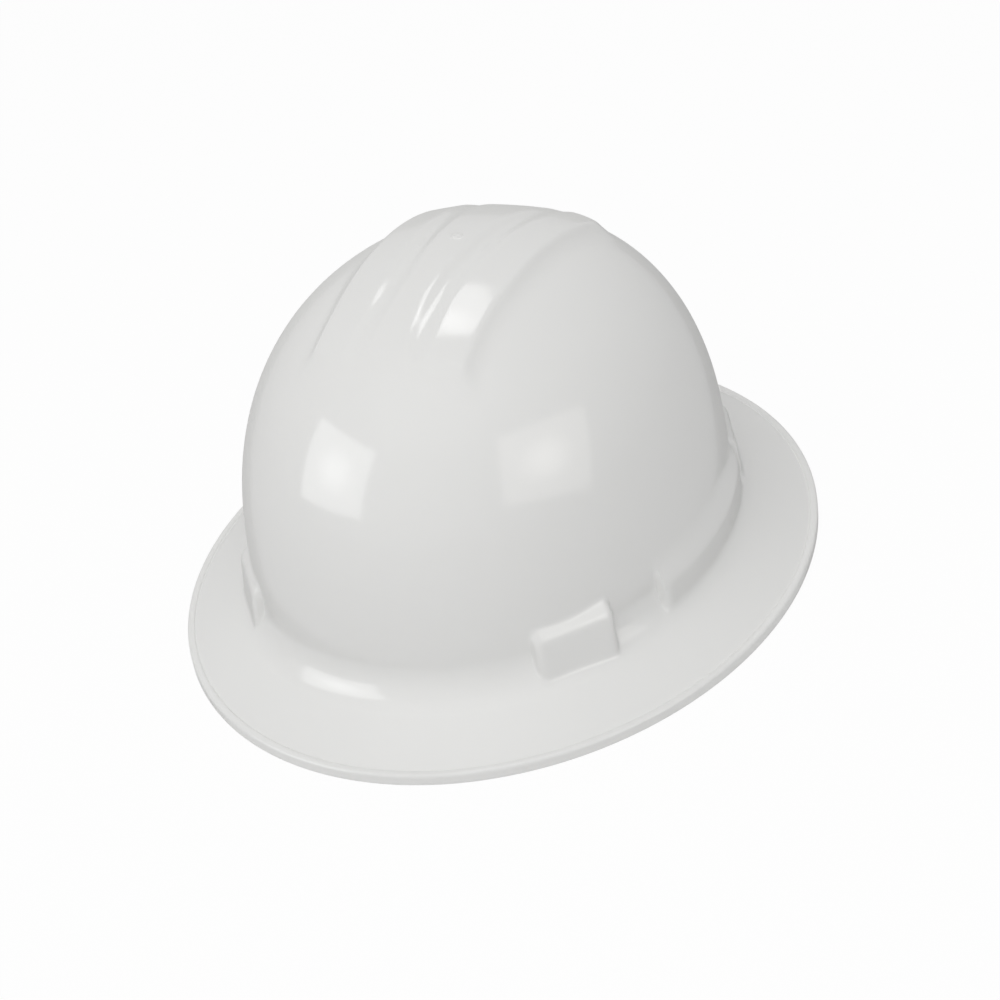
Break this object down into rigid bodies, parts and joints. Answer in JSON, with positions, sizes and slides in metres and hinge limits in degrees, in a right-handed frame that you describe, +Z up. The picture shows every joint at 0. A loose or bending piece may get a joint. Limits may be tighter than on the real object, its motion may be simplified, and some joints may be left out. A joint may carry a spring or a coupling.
{
  "type": "full brim hard hat",
  "caption": "Full brim hard hat with a ridged crown, a webbing suspension on four keys, and a headband set by a ratchet knob at the nape.",
  "frame": {"origin": "middle of the flat rim, on the plane the rim rests on", "axes": "+Z up through the crown, -Y to the hat's front, +X to the wearer's left"},
  "size_m": [0.274, 0.3206, 0.1557],
  "materials": {
    "shell_plastic": "glossy white moulded polyethylene",
    "key_plastic": "smooth off-white moulding",
    "band_plastic": "fine grained black moulding",
    "ratchet_plastic": "fine grained black moulding",
    "webbing": "woven dark grey webbing",
    "pad_cloth": "black terry cloth over foam",
    "grip_rubber": "ribbed soft rubber",
    "bright_steel": "plain steel"
  },
  "bodies": {
    "shell": {"shell": "shell_plastic", "front_left_key": "key_plastic", "front_right_key": "key_plastic", "rear_left_key": "key_plastic", "rear_right_key": "key_plastic", "crown_strap_upper": "webbing", "crown_strap_lower": "webbing", "headband": "band_plastic", "brow_pad": "pad_cloth", "nape_pad": "pad_cloth", "ratchet_plate": "ratchet_plastic", "ratchet_cover": "ratchet_plastic", "housing_screws": "bright_steel"},
    "left_tail": {"left_tail": "band_plastic"},
    "right_tail": {"right_tail": "band_plastic"},
    "knob": {"ratchet_knob": "ratchet_plastic", "knob_grip": "grip_rubber", "pinion": "ratchet_plastic", "detent_spring": "bright_steel", "knob_screw": "bright_steel"}
  },
  "joints": [
    {"name": "knob_turn", "type": "hinge", "parent": "shell", "child": "knob", "pos_m": [0, 0.1, 0.022], "axis": [0, 1, 0], "range_deg": [-286, 286]},
    {"name": "left_tail_slide", "type": "hinge", "parent": "shell", "child": "left_tail", "pos_m": [0, 0.008, 0.022], "axis": [0, 0, 1], "range_deg": [-19.7, 19.7]},
    {"name": "right_tail_slide", "type": "hinge", "parent": "shell", "child": "right_tail", "pos_m": [0, 0.008, 0.022], "axis": [0, 0, 1], "range_deg": [-19.7, 19.7]}
  ],
  "couplings": [
    {"joint": "left_tail_slide", "follows": "knob_turn", "ratio": -0.068664},
    {"joint": "right_tail_slide", "follows": "knob_turn", "ratio": 0.067073}
  ]
}
